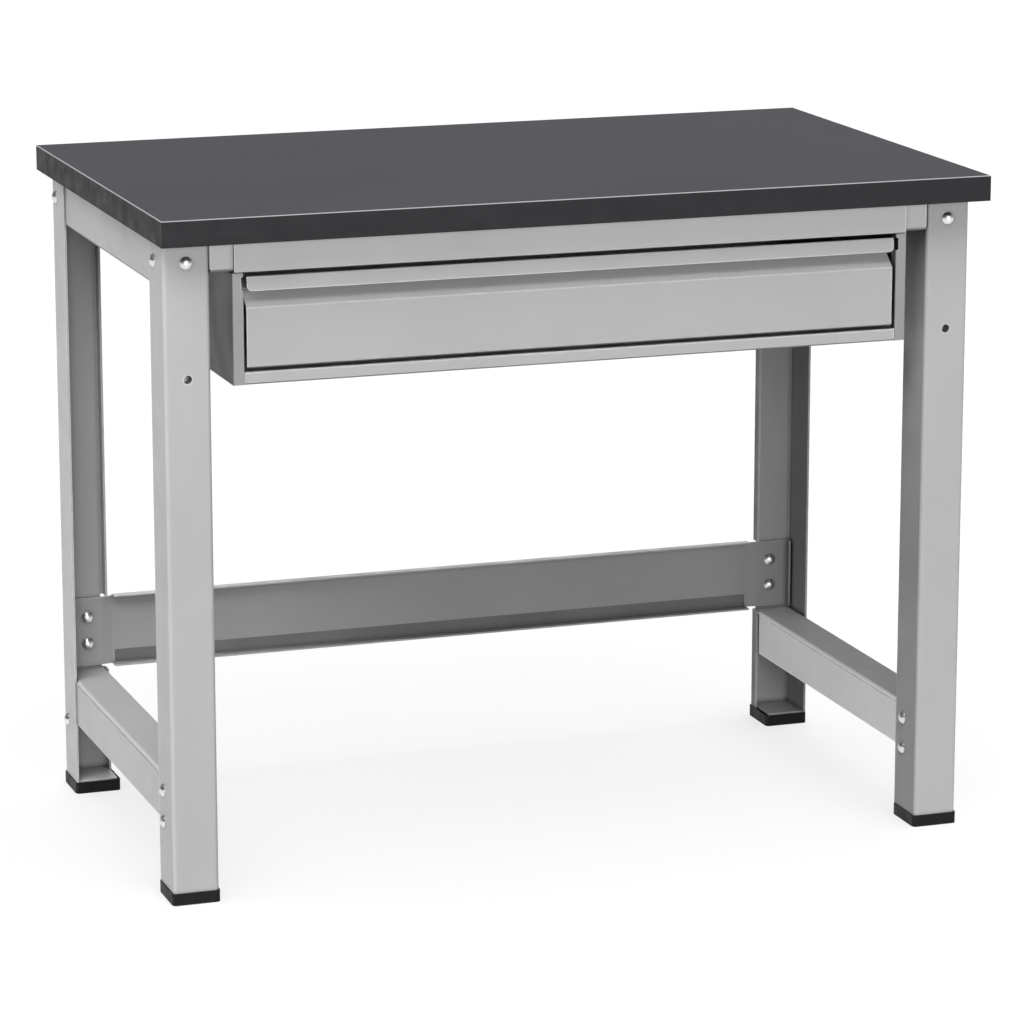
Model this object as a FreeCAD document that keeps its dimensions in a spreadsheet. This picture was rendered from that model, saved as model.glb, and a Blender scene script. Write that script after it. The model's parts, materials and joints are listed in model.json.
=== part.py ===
import FreeCAD, Part
import Sketcher
import os

# Free-standing steel workbench with one drawer under a laminated worktop.
# Millimetres, +Z up, +X along the worktop, -Y is the drawer side.
# The origin is on the floor, under the middle of the worktop.

DIMENSIONS = {
    # worktop
    "worktop_length": 1000,
    "worktop_depth": 600,
    "worktop_thickness": 30,
    "bench_height": 800,
    "top_laminate": 1.2,
    "backing_laminate": 0.8,
    "edge_band": 2,
    "laminate_chamfer": 0.9,
    # legs, folded from one sheet each
    "leg_width": 54,
    "leg_depth": 59,
    "leg_sheet": 2.5,
    "leg_bend": 4.5,
    "side_overhang": 10,
    "front_overhang": 37,
    "rear_leg_lip": 17.5,
    "accessory_hole_height": 613.5,
    "accessory_hole_radius": 5,
    "insert_radius": 6.5,
    "insert_depth": 15,
    # plastic foot caps
    "foot_height": 14,
    "foot_floor": 4,
    "foot_wall": 1.5,
    "foot_corner": 5,
    # frame rails
    "rail_sheet": 2,
    "rail_bend": 3.5,
    "upper_rail_height": 56,
    "lower_rail_height": 56,
    "lower_rail_top": 145,
    "rail_groove_width": 1.4,
    "rail_groove_depth": 0.9,
    "crossbar_height": 37,
    "crossbar_flange": 37,
    "end_gap": 2.5,
    # rear stretcher
    "stretcher_bottom": 147,
    "stretcher_height": 91,
    "stretcher_flange": 14,
    "stretcher_half": 427,
    "joggle": 14,
    "crease_height": 19,
    "crease_depth": 2.5,
    # bolts
    "bolt_radius": 4,
    "bolt_clearance": 0.25,
    "bolt_head_radius": 7.75,
    "bolt_head_height": 4.3,
    "nut_width": 13,
    "nut_height": 6.5,
    "screw_radius": 2.5,
    "screw_head_radius": 5,
    "screw_head_height": 2.6,
    "screw_length": 20,
    # drawer housing
    "housing_half": 410.2,
    "housing_height": 167,
    "housing_back": 85,
    "housing_sheet": 1.2,
    "stile_width": 13.2,
    "fascia_height": 38,
    "fascia_thickness": 2.5,
    "bottom_rail_height": 14.4,
    # drawer
    "drawer_half": 384.5,
    "drawer_front_half": 393.5,
    "drawer_front_bottom": 621.5,
    "drawer_sheet": 1.2,
    "crease_level": 690,
    "grip_top": 727,
    "grip_lip": 17,
    "grip_depth": 22,
    "grip_corner": 6,
    "drawer_bottom": 624,
    "drawer_top": 704,
    # telescopic slides
    "slide_centre": 655,
    "slide_length": 300,
    "slide_front": -242,
    "slide_thickness": 12.7,
    "slide_height": 45,
    "slide_sheet": 1.2,
    "ball_radius": 1,
}

document = FreeCAD.newDocument("Workbench")
sheet = document.addObject("Spreadsheet::Sheet", "Dims")
for row, (alias, value) in enumerate(DIMENSIONS.items(), start=1):
    sheet.set(f"A{row}", alias)
    sheet.set(f"B{row}", str(value))
    sheet.setAlias(f"B{row}", alias)
document.recompute()

parts = []


# ---------------------------------------------------------------- helpers

def number(expression):
    """The value in millimetres of an expression over the sheet's cells."""
    return float(sheet.evalExpression(expression))


def times(sign, expression):
    """The expression on the left (sign -1) or on the right (sign 1)."""
    return f"{sign} * ({expression})"


def new_body(label):
    body = document.addObject("PartDesign::Body", label)
    body.Label = label
    parts.append(body)
    return body


def sketch_at(body, role, height):
    """A sketch on one of the body's origin planes, moved along its normal."""
    plane = [item for item in body.Origin.OriginFeatures if item.Role == role][0]
    sketch = body.newObject("Sketcher::SketchObject", f"{body.Label}_sketch")
    sketch.AttachmentSupport = [(plane, "")]
    sketch.MapMode = "FlatFace"
    sketch.setExpression("AttachmentOffset.Base.z", height)
    return sketch


def bind_point(sketch, geometry, position, name, across, up):
    """Tie one point of the sketch to two expressions."""
    for kind, axis, expression in (("DistanceX", "x", across), ("DistanceY", "y", up)):
        row = sketch.addConstraint(
            Sketcher.Constraint(kind, -1, 1, geometry, position, number(expression)))
        sketch.renameConstraint(row, f"{axis}{name}")
        sketch.setExpression(f"Constraints.{axis}{name}", expression)


def polygon(sketch, corners):
    """A closed outline through corners, each a pair of expressions."""
    points = [FreeCAD.Vector(number(a), number(b), 0) for a, b in corners]
    count = len(points)
    first = sketch.GeometryCount
    for index in range(count):
        sketch.addGeometry(Part.LineSegment(points[index], points[(index + 1) % count]))
    for index in range(count):
        following = first + (index + 1) % count
        sketch.addConstraint(Sketcher.Constraint("Coincident", first + index, 2, following, 1))
    for index, (a, b) in enumerate(corners):
        bind_point(sketch, first + index, 1, first + index, a, b)


def circles(sketch, centres, radius):
    for a, b in centres:
        centre = FreeCAD.Vector(number(a), number(b), 0)
        index = sketch.addGeometry(
            Part.Circle(centre, FreeCAD.Vector(0, 0, 1), number(radius)))
        bind_point(sketch, index, 3, index, a, b)
        row = sketch.addConstraint(Sketcher.Constraint("Radius", index, number(radius)))
        sketch.renameConstraint(row, f"r{index}")
        sketch.setExpression(f"Constraints.r{index}", radius)


def rectangle(low_a, high_a, low_b, high_b):
    return [(low_a, low_b), (high_a, low_b), (high_a, high_b), (low_a, high_b)]


def pad(body, role, corners, low, high):
    """Add the outline, extruded from low to high along the plane's own axis."""
    plane_height = f"-({high})" if role == "XZ_Plane" else low
    sketch = sketch_at(body, role, plane_height)
    polygon(sketch, corners)
    feature = body.newObject("PartDesign::Pad", f"{body.Label}_pad")
    feature.Profile = sketch
    feature.setExpression("Length", f"({high}) - ({low})")
    body.Tip = feature
    return feature


def remove(body, role, low, high, corners=None, holes=None, radius=None):
    """Cut an outline, or round holes, from low to high."""
    volume_before = solid_volume(body)
    plane_height = f"-({low})" if role == "XZ_Plane" else high
    sketch = sketch_at(body, role, plane_height)
    if corners:
        polygon(sketch, corners)
    if holes:
        circles(sketch, holes, radius)
    feature = body.newObject("PartDesign::Pocket", f"{body.Label}_cut")
    feature.Profile = sketch
    feature.setExpression("Length", f"({high}) - ({low})")
    body.Tip = feature
    if solid_volume(body) >= volume_before:
        raise ValueError(f"{feature.Label} removes nothing")


def solid_volume(body):
    document.recompute()
    return body.Shape.Volume


def miter(points, index, turn):
    """How far a folded sheet's second face stands from its first at a corner."""
    normals = []
    for start, end in ((index - 1, index), (index, index + 1)):
        if start < 0 or end >= len(points):
            continue
        along = (points[end] - points[start]).normalize()
        normals.append(FreeCAD.Vector(turn * along.y, -turn * along.x, 0))
    total = normals[0] + normals[-1]
    return total * (1 / (1 + normals[0].dot(normals[-1])))


def folded_outline(path, thickness, turn):
    """The closed outline of a folded sheet whose first face follows the path."""
    points = [FreeCAD.Vector(number(a), number(b), 0) for a, b in path]
    second = []
    for index, (a, b) in enumerate(path):
        step = miter(points, index, turn)
        second.append((f"({a}) + {step.x:.6f} * {thickness}",
                       f"({b}) + {step.y:.6f} * {thickness}"))
    return path + second[::-1]


def round_edges(body, role, corners, radius):
    """Round the edges that run along the plane's axis through the corners."""
    document.recompute()
    across, up = {"XY_Plane": ("x", "y"), "XZ_Plane": ("x", "z"),
                  "YZ_Plane": ("y", "z")}[role]
    base = body.Tip
    names = []
    for index, edge in enumerate(base.Shape.Edges, start=1):
        ends = [vertex.Point for vertex in edge.Vertexes]
        for a, b in corners:
            offsets = [abs(getattr(end, across) - number(a)) + abs(getattr(end, up) - number(b))
                       for end in ends]
            if len(ends) == 2 and max(offsets) < 0.001:
                names.append(f"Edge{index}")
    if not names:
        raise ValueError(f"{body.Label} has no edge to round")
    feature = body.newObject("PartDesign::Fillet", f"{body.Label}_bend")
    feature.Base = (base, names)
    feature.setExpression("Radius", radius)
    body.Tip = feature


def folded(body, role, path, thickness, low, high, turn, bend=None):
    """Pad a folded sheet and round both faces of each fold."""
    outline = folded_outline(path, thickness, turn)
    pad(body, role, outline, low, high)
    if not bend:
        return
    outer = []
    inner = []
    count = len(path)
    points = [FreeCAD.Vector(number(a), number(b), 0) for a, b in path]
    for index in range(1, count - 1):
        before = points[index] - points[index - 1]
        after = points[index + 1] - points[index]
        first_is_outside = turn * before.cross(after).z < 0
        first = outline[index]
        second = outline[2 * count - 1 - index]
        outer.append(first if first_is_outside else second)
        inner.append(second if first_is_outside else first)
    round_edges(body, role, outer, bend)
    round_edges(body, role, inner, f"{bend} - {thickness}")


# ------------------------------------------------------- named positions

HALF_LENGTH = "(Dims.worktop_length / 2)"
HALF_DEPTH = "(Dims.worktop_depth / 2)"
UNDERSIDE = "(Dims.bench_height - Dims.worktop_thickness)"
LEG_OUTER = f"({HALF_LENGTH} - Dims.side_overhang)"
LEG_INNER = f"({LEG_OUTER} - Dims.leg_width)"
LEG_MIDDLE = f"({LEG_OUTER} - Dims.leg_width / 2)"
LEG_FACE = f"({HALF_DEPTH} - Dims.front_overhang)"
LEG_BACK_EDGE = f"({LEG_FACE} - Dims.leg_depth)"
CHANNEL_OUTER = f"({LEG_OUTER} - Dims.leg_sheet)"
CHANNEL_INNER = f"({LEG_INNER} + Dims.leg_sheet)"
WEB_INSIDE = f"({LEG_FACE} - Dims.leg_sheet)"
TAB_INSIDE = f"({WEB_INSIDE} - Dims.rail_sheet)"
BOLT_HOLE = "(Dims.bolt_radius + Dims.bolt_clearance)"
NUT_SEAT = f"({CHANNEL_OUTER} - Dims.rail_sheet)"
INNER_NUT_SEAT = f"({CHANNEL_INNER} + Dims.rail_sheet)"

CORNER_BOLT_LEVEL = f"({UNDERSIDE} - 24.5)"
SIDE_BOLT_LEVEL = f"({UNDERSIDE} - 26)"
CROSSBAR_BOLT_LEVEL = f"({UNDERSIDE} - 19)"
FRONT_FLANGE_BOLT = f"({LEG_FACE} - 39)"
REAR_FLANGE_BOLT = f"({LEG_FACE} - 19)"
RAIL_BOLT_LEVELS = ["(Dims.lower_rail_top - 17.5)", "(Dims.lower_rail_top - 54.7)"]
REAR_RAIL_BOLT_LEVEL = "(Dims.lower_rail_top - 59)"
FRONT_CROSSBAR_BOLT = f"({LEG_FACE} - 20)"
REAR_CROSSBAR_BOLT = f"({LEG_FACE} - 11.5)"
STRETCHER_BOLT = f"({LEG_MIDDLE} - 4)"
STRETCHER_BOLT_LEVELS = ["(Dims.stretcher_bottom + 29.5)", "(Dims.stretcher_bottom + 63.5)"]

SIDES = {"left": -1, "right": 1}
ENDS = {"front": -1, "rear": 1}


# --------------------------------------------------------------- worktop

RAIL_SCREWS_Y = [-150, 0, 150]
HOUSING_SCREWS_Y = [-190, -60, 60]
CROSSBAR_SCREWS_X = [-300, 0, 300]
RAIL_SCREW_X = f"({LEG_MIDDLE} - 6)"
CROSSBAR_SCREW_Y = f"({LEG_FACE} - 21)"
HOUSING_SCREW_X = "(Dims.housing_half - 14)"


def worktop_screw_places():
    """Screws that hold the top to the rails, the crossbars and the housing."""
    places = {"rail": [], "housing": []}
    for sign in (-1, 1):
        for along in RAIL_SCREWS_Y:
            places["rail"].append((times(sign, RAIL_SCREW_X), str(along)))
        for along in HOUSING_SCREWS_Y:
            places["housing"].append((times(sign, HOUSING_SCREW_X), str(along)))
        for along in CROSSBAR_SCREWS_X:
            places["rail"].append((str(along), times(sign, CROSSBAR_SCREW_Y)))
    return places


SCREWS = worktop_screw_places()
SCREW_HOLE = "(Dims.screw_radius + 0.05)"
CORE_LOW = f"({UNDERSIDE} + Dims.backing_laminate)"
CORE_HIGH = "(Dims.bench_height - Dims.top_laminate)"
CORE_HALF_LENGTH = f"({HALF_LENGTH} - Dims.edge_band)"
CORE_HALF_DEPTH = f"({HALF_DEPTH} - Dims.edge_band)"


def centred(half_a, half_b):
    return rectangle(f"-{half_a}", half_a, f"-{half_b}", half_b)


def make_worktop():
    core = new_body("worktop_core")
    pad(core, "XY_Plane", centred(CORE_HALF_LENGTH, CORE_HALF_DEPTH), CORE_LOW, CORE_HIGH)
    for holes in SCREWS.values():
        remove(core, "XY_Plane", CORE_LOW, f"{UNDERSIDE} + Dims.screw_length",
               holes=holes, radius=SCREW_HOLE)
    backing = new_body("worktop_backing")
    pad(backing, "XY_Plane", centred(CORE_HALF_LENGTH, CORE_HALF_DEPTH), UNDERSIDE, CORE_LOW)
    for holes in SCREWS.values():
        remove(backing, "XY_Plane", UNDERSIDE, CORE_LOW, holes=holes, radius=SCREW_HOLE)

    laminate = new_body("worktop_laminate")
    surface = pad(laminate, "XY_Plane", centred(HALF_LENGTH, HALF_DEPTH),
                  CORE_HIGH, "Dims.bench_height")
    document.recompute()
    rim = [f"Edge{index}" for index, edge in enumerate(surface.Shape.Edges, start=1)
           if min(vertex.Z for vertex in edge.Vertexes) > number("Dims.bench_height") - 0.001]
    chamfer = laminate.newObject("PartDesign::Chamfer", "laminate_edge")
    chamfer.Base = (surface, rim)
    chamfer.setExpression("Size", "Dims.laminate_chamfer")
    laminate.Tip = chamfer

    for name, sign in ENDS.items():
        band = new_body(f"edge_band_{name}")
        near, far = sorted([times(sign, HALF_DEPTH), times(sign, CORE_HALF_DEPTH)], key=number)
        pad(band, "XY_Plane", rectangle(f"-{HALF_LENGTH}", HALF_LENGTH, near, far),
            UNDERSIDE, CORE_HIGH)
    for name, sign in SIDES.items():
        band = new_body(f"edge_band_{name}")
        near, far = sorted([times(sign, HALF_LENGTH), times(sign, CORE_HALF_LENGTH)], key=number)
        pad(band, "XY_Plane", rectangle(near, far, f"-{CORE_HALF_DEPTH}", CORE_HALF_DEPTH),
            UNDERSIDE, CORE_HIGH)


# ------------------------------------------------------------------ legs

def make_leg(side_name, side, end_name, end):
    """A channel with its web to the outside of the bench and a folded bottom tab."""
    leg = new_body(f"leg_{end_name}_{side_name}")
    inner_edge = LEG_BACK_EDGE if end < 0 else f"({LEG_FACE} - Dims.rear_leg_lip)"
    path = [
        (times(side, LEG_OUTER), times(end, LEG_BACK_EDGE)),
        (times(side, LEG_OUTER), times(end, LEG_FACE)),
        (times(side, LEG_INNER), times(end, LEG_FACE)),
        (times(side, LEG_INNER), times(end, inner_edge)),
    ]
    folded(leg, "XY_Plane", path, "Dims.leg_sheet", "Dims.foot_floor", UNDERSIDE,
           -side * end, "Dims.leg_bend")
    tab = rectangle(times(side, CHANNEL_INNER), times(side, CHANNEL_OUTER),
                    times(end, f"{LEG_BACK_EDGE} + 1"), times(end, WEB_INSIDE))
    pad(leg, "XY_Plane", tab, "Dims.foot_height", "Dims.foot_height + Dims.rail_sheet")

    face_low, face_high = sorted([times(end, LEG_FACE), times(end, TAB_INSIDE)], key=number)
    holes = [(times(side, LEG_MIDDLE), CORNER_BOLT_LEVEL)]
    if end > 0:
        holes += [(times(side, STRETCHER_BOLT), level) for level in STRETCHER_BOLT_LEVELS]
    remove(leg, "XZ_Plane", face_low, face_high, holes=holes, radius=BOLT_HOLE)
    if end < 0:
        accessory = [(times(side, LEG_MIDDLE), "Dims.accessory_hole_height")]
        remove(leg, "XZ_Plane", face_low, face_high, holes=accessory,
               radius="Dims.accessory_hole_radius")

    flange_low, flange_high = sorted([times(side, LEG_OUTER), times(side, NUT_SEAT)], key=number)
    flange_y = times(end, FRONT_FLANGE_BOLT if end < 0 else REAR_FLANGE_BOLT)
    levels = RAIL_BOLT_LEVELS if end < 0 else [REAR_RAIL_BOLT_LEVEL]
    rail_holes = [(flange_y, level) for level in levels]
    remove(leg, "YZ_Plane", flange_low, flange_high,
           holes=rail_holes + [(flange_y, SIDE_BOLT_LEVEL)], radius=BOLT_HOLE)

    inner_low, inner_high = sorted([times(side, LEG_INNER), times(side, INNER_NUT_SEAT)],
                                   key=number)
    crossbar_y = times(end, FRONT_CROSSBAR_BOLT if end < 0 else REAR_CROSSBAR_BOLT)
    inner_holes = [(crossbar_y, CROSSBAR_BOLT_LEVEL)]
    if end < 0:
        inner_holes += rail_holes
    remove(leg, "YZ_Plane", inner_low, inner_high, holes=inner_holes, radius=BOLT_HOLE)

    if end > 0:
        notch = rectangle(times(side, f"{LEG_INNER} - 1"), times(side, f"{CHANNEL_INNER} + 3"),
                          f"{LEG_FACE} - Dims.rear_leg_lip - 1", f"{LEG_FACE} + 1")
        remove(leg, "XY_Plane", "Dims.stretcher_bottom - 1.5",
               "Dims.stretcher_bottom + Dims.stretcher_height + 1", corners=notch)


def make_insert(side_name, side):
    """A closed rivet nut pressed into a front leg's accessory hole."""
    insert = new_body(f"leg_insert_{side_name}")
    place = [(times(side, LEG_MIDDLE), "Dims.accessory_hole_height")]
    behind = f"(-{LEG_FACE} + Dims.leg_sheet)"
    deep = f"({behind} + Dims.insert_depth)"
    sketch = sketch_at(insert, "XZ_Plane", f"-{deep}")
    circles(sketch, place, "Dims.insert_radius")
    barrel = insert.newObject("PartDesign::Pad", f"{insert.Label}_barrel")
    barrel.Profile = sketch
    barrel.setExpression("Length", "Dims.insert_depth")
    insert.Tip = barrel
    remove(insert, "XZ_Plane", behind, f"{deep} - 2", holes=place,
           radius="Dims.accessory_hole_radius")


def make_foot(side_name, side, end_name, end):
    """A moulded cap with a core block that plugs the channel."""
    foot = new_body(f"foot_cap_{end_name}_{side_name}")
    outer = rectangle(times(side, f"{LEG_INNER} - Dims.foot_wall"),
                      times(side, f"{LEG_OUTER} + Dims.foot_wall"),
                      times(end, f"{LEG_BACK_EDGE} - Dims.foot_wall"),
                      times(end, f"{LEG_FACE} + Dims.foot_wall"))
    pad(foot, "XY_Plane", outer, "0", "Dims.foot_height")
    round_edges(foot, "XY_Plane", outer, "Dims.foot_corner")
    socket = rectangle(times(side, LEG_INNER), times(side, LEG_OUTER),
                       times(end, LEG_BACK_EDGE), times(end, LEG_FACE))
    remove(foot, "XY_Plane", "Dims.foot_floor", "Dims.foot_height", corners=socket)
    plug = rectangle(times(side, f"{CHANNEL_INNER} + 1"), times(side, f"{CHANNEL_OUTER} - 1"),
                     times(end, LEG_BACK_EDGE), times(end, f"{WEB_INSIDE} - 2"))
    pad(foot, "XY_Plane", plug, "Dims.foot_floor", "Dims.foot_height")


# ----------------------------------------------------------------- rails

def make_upper_side_rail(side_name, side):
    """A channel inside the two legs of one side, with a bolted tab at each end."""
    rail = new_body(f"upper_side_rail_{side_name}")
    low = f"({UNDERSIDE} - Dims.upper_rail_height)"
    path = [
        (times(side, f"{CHANNEL_OUTER} - 18"), low),
        (times(side, CHANNEL_OUTER), low),
        (times(side, CHANNEL_OUTER), UNDERSIDE),
        (times(side, f"{CHANNEL_INNER} + 3"), UNDERSIDE),
    ]
    reach = f"({WEB_INSIDE} - Dims.end_gap)"
    folded(rail, "XZ_Plane", path, "Dims.rail_sheet", f"-{reach}", reach, -side,
           "Dims.rail_bend")
    for end in (-1, 1):
        tab = [
            (times(side, CHANNEL_OUTER), times(end, f"{WEB_INSIDE} - 22")),
            (times(side, CHANNEL_OUTER), times(end, f"{WEB_INSIDE} - 2.5")),
            (times(side, f"{CHANNEL_OUTER} - 2.5"), times(end, WEB_INSIDE)),
            (times(side, f"{CHANNEL_INNER} + 5"), times(end, WEB_INSIDE)),
            (times(side, f"{CHANNEL_INNER} + 5"), times(end, TAB_INSIDE)),
            (times(side, f"{NUT_SEAT} - 1.5"), times(end, TAB_INSIDE)),
            (times(side, NUT_SEAT), times(end, f"{TAB_INSIDE} - 1.5")),
            (times(side, NUT_SEAT), times(end, f"{WEB_INSIDE} - 22")),
        ]
        pad(rail, "XY_Plane", tab, f"{low} + 6", f"{UNDERSIDE} - 5")
        face_low, face_high = sorted([times(end, LEG_FACE), times(end, TAB_INSIDE)], key=number)
        remove(rail, "XZ_Plane", face_low, face_high,
               holes=[(times(side, LEG_MIDDLE), CORNER_BOLT_LEVEL)], radius=BOLT_HOLE)
    web_low, web_high = sorted([times(side, CHANNEL_OUTER), times(side, NUT_SEAT)], key=number)
    side_bolts = [(f"-{FRONT_FLANGE_BOLT}", SIDE_BOLT_LEVEL), (REAR_FLANGE_BOLT, SIDE_BOLT_LEVEL)]
    remove(rail, "YZ_Plane", web_low, web_high, holes=side_bolts, radius=BOLT_HOLE)
    screws = [(times(side, RAIL_SCREW_X), str(along)) for along in RAIL_SCREWS_Y]
    remove(rail, "XY_Plane", f"{UNDERSIDE} - Dims.rail_sheet", UNDERSIDE,
           holes=screws, radius=SCREW_HOLE)


def make_lower_side_rail(side_name, side):
    """An upturned channel that fills the legs' width, with longer side webs at its ends."""
    rail = new_body(f"lower_side_rail_{side_name}")
    low = "(Dims.lower_rail_top - Dims.lower_rail_height)"
    path = [
        (times(side, CHANNEL_OUTER), low),
        (times(side, CHANNEL_OUTER), "Dims.lower_rail_top"),
        (times(side, CHANNEL_INNER), "Dims.lower_rail_top"),
        (times(side, CHANNEL_INNER), low),
    ]
    reach = f"({WEB_INSIDE} - 3.5)"
    folded(rail, "XZ_Plane", path, "Dims.rail_sheet", f"-{reach}", reach, -side,
           "Dims.rail_bend")
    webs = [(CHANNEL_OUTER, NUT_SEAT, (-1, 1)), (CHANNEL_INNER, INNER_NUT_SEAT, (-1,))]
    for outside, inside, ear_ends in webs:
        web_low, web_high = sorted([times(side, outside), times(side, inside)], key=number)
        for end in ear_ends:
            ear = [
                (times(end, f"{LEG_BACK_EDGE} + 3"), f"{low} + 2"),
                (times(end, reach), f"{low} + 2"),
                (times(end, reach), f"{low} - 17"),
                (times(end, f"{LEG_BACK_EDGE} + 9"), f"{low} - 17"),
                (times(end, f"{LEG_BACK_EDGE} + 3"), f"{low} - 11"),
            ]
            pad(rail, "YZ_Plane", ear, web_low, web_high)
        holes = [(f"-{FRONT_FLANGE_BOLT}", level) for level in RAIL_BOLT_LEVELS]
        if outside == CHANNEL_OUTER:
            holes.append((REAR_FLANGE_BOLT, REAR_RAIL_BOLT_LEVEL))
        remove(rail, "YZ_Plane", web_low, web_high, holes=holes, radius=BOLT_HOLE)
    inner_low, inner_high = sorted([times(side, CHANNEL_INNER), times(side, INNER_NUT_SEAT)],
                                   key=number)
    lip_gap = rectangle(f"{LEG_FACE} - Dims.rear_leg_lip - 4.5", f"{LEG_FACE}",
                        f"{low} - 1", "Dims.lower_rail_top - Dims.rail_bend")
    remove(rail, "YZ_Plane", inner_low, inner_high, corners=lip_gap)
    groove_top = "(Dims.lower_rail_top - Dims.rail_bend - 0.8)"
    for outside in (CHANNEL_OUTER, CHANNEL_INNER):
        inward = "-" if outside == CHANNEL_OUTER else "+"
        bottom = times(side, f"{outside} {inward} Dims.rail_groove_depth")
        near, far = sorted([times(side, outside), bottom], key=number)
        groove = rectangle(near, far, f"{groove_top} - Dims.rail_groove_width", groove_top)
        remove(rail, "XZ_Plane", f"-{LEG_BACK_EDGE} + 2", f"{LEG_BACK_EDGE} - 2", corners=groove)


def make_crossbar(end_name, end):
    """A channel along the front or the rear, under the worktop."""
    bar = new_body(f"{end_name}_crossbar")
    low = f"({UNDERSIDE} - Dims.crossbar_height)"
    path = [
        (times(end, f"{LEG_FACE} - Dims.crossbar_flange"), UNDERSIDE),
        (times(end, LEG_FACE), UNDERSIDE),
        (times(end, LEG_FACE), low),
        (times(end, f"{LEG_FACE} - 20"), low),
    ]
    reach = f"({LEG_INNER} - 0.9)"
    folded(bar, "YZ_Plane", path, "Dims.rail_sheet", f"-{reach}", reach, end,
           "Dims.rail_bend")
    tab_depth = "32" if end < 0 else "20"
    bolt_y = times(end, FRONT_CROSSBAR_BOLT if end < 0 else REAR_CROSSBAR_BOLT)
    tab = rectangle(times(end, f"{LEG_FACE} - {tab_depth}"), times(end, f"{LEG_FACE} - 1.5"),
                    f"{low} + 4", f"{UNDERSIDE} - 1")
    for side in (-1, 1):
        ends = sorted([times(side, LEG_INNER), times(side, f"{LEG_INNER} - Dims.rail_sheet")],
                      key=number)
        pad(bar, "YZ_Plane", tab, *ends)
        remove(bar, "YZ_Plane", *ends, holes=[(bolt_y, CROSSBAR_BOLT_LEVEL)], radius=BOLT_HOLE)
    screws = [(str(along), times(end, CROSSBAR_SCREW_Y)) for along in CROSSBAR_SCREWS_X]
    remove(bar, "XY_Plane", f"{UNDERSIDE} - Dims.rail_sheet", UNDERSIDE,
           holes=screws, radius=SCREW_HOLE)


def make_rear_stretcher():
    """A low channel between the rear legs, with a joggled plate at each end."""
    beam = new_body("rear_stretcher")
    low = "Dims.stretcher_bottom"
    high = "(Dims.stretcher_bottom + Dims.stretcher_height)"
    path = [
        (f"{LEG_FACE} - Dims.stretcher_flange", high),
        (LEG_FACE, high),
        (LEG_FACE, f"{low} + Dims.crease_height"),
        (f"{LEG_FACE} + Dims.crease_depth", low),
        (f"{LEG_FACE} - Dims.stretcher_flange", low),
    ]
    folded(beam, "YZ_Plane", path, "Dims.rail_sheet", "-Dims.stretcher_half",
           "Dims.stretcher_half", 1)
    round_edges(beam, "YZ_Plane", [path[1], path[3]], "Dims.rail_bend")
    for side in (-1, 1):
        plate = [
            (times(side, "Dims.stretcher_half - 2"), LEG_FACE),
            (times(side, "Dims.stretcher_half + 1"), LEG_FACE),
            (times(side, "Dims.stretcher_half + Dims.joggle"), WEB_INSIDE),
            (times(side, f"{CHANNEL_OUTER} - 2.5"), WEB_INSIDE),
            (times(side, f"{CHANNEL_OUTER} - 2.5"), f"{WEB_INSIDE} - 11"),
        ]
        outline = folded_outline(plate, "Dims.rail_sheet", side)
        pad(beam, "XY_Plane", outline, f"{low} + 1.5", f"{high} - 2.5")
        round_edges(beam, "XY_Plane", [plate[3]], "Dims.rail_bend")
        holes = [(times(side, STRETCHER_BOLT), level) for level in STRETCHER_BOLT_LEVELS]
        remove(beam, "XZ_Plane", TAB_INSIDE, LEG_FACE, holes=holes, radius=BOLT_HOLE)


# ------------------------------------------------------------- fasteners

def revolved(name, profile):
    """A turned piece about +Z, from an outline of (radius, height) expressions."""
    body = document.addObject("PartDesign::Body", name)
    sketch = sketch_at(body, "XZ_Plane", "0")
    polygon(sketch, profile)
    return body, sketch


def turn_profile(body, sketch):
    feature = body.newObject("PartDesign::Revolution", f"{body.Label}_turned")
    feature.Profile = sketch
    feature.ReferenceAxis = (sketch, ["V_Axis"])
    feature.Angle = 360
    body.Tip = feature
    document.recompute()


def make_bolt(name, radius, head_radius, head_height, length):
    """A domed bolt whose head sits on z = 0 and whose shank points down."""
    rim = "0.6"
    body, sketch = revolved(name, [
        ("0", f"-({length})"), (radius, f"-({length})"), (radius, "0"), (head_radius, "0"),
        (head_radius, rim), ("0", rim)])
    turn_profile(body, sketch)
    dome = document.addObject("Part::Sphere", f"{name}_ball")
    ball = f"({head_radius} * {head_radius} / {head_height} + {head_height}) / 2"
    dome.setExpression("Radius", ball)
    dome.setExpression("Placement.Base.z", f"{rim} + {head_height} - ({ball})")
    keep = document.addObject("Part::Cylinder", f"{name}_keep")
    keep.setExpression("Radius", head_radius)
    keep.setExpression("Height", f"{head_height} + 1")
    keep.setExpression("Placement.Base.z", rim)
    cap = document.addObject("Part::Common", f"{name}_cap")
    cap.Base = dome
    cap.Tool = keep
    bolt = document.addObject("Part::Fuse", f"{name}_whole")
    bolt.Base = body
    bolt.Tool = cap
    document.recompute()
    return bolt


def make_nut(name):
    """A hexagon nut that stands on z = 0."""
    prism = document.addObject("Part::Prism", f"{name}_hexagon")
    prism.Polygon = 6
    prism.setExpression("Circumradius", "Dims.nut_width / sqrt(3)")
    prism.setExpression("Height", "Dims.nut_height")
    bore = document.addObject("Part::Cylinder", f"{name}_bore")
    bore.setExpression("Radius", "Dims.bolt_radius + 0.05")
    bore.setExpression("Height", "Dims.nut_height + 2")
    bore.Placement.Base.z = -1
    nut = document.addObject("Part::Cut", name)
    nut.Base = prism
    nut.Tool = bore
    document.recompute()
    return nut


TURNS = {
    "-x": (FreeCAD.Vector(0, 1, 0), -90),
    "+x": (FreeCAD.Vector(0, 1, 0), 90),
    "-y": (FreeCAD.Vector(1, 0, 0), 90),
    "+y": (FreeCAD.Vector(1, 0, 0), -90),
    "-z": (FreeCAD.Vector(1, 0, 0), 180),
}


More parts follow.
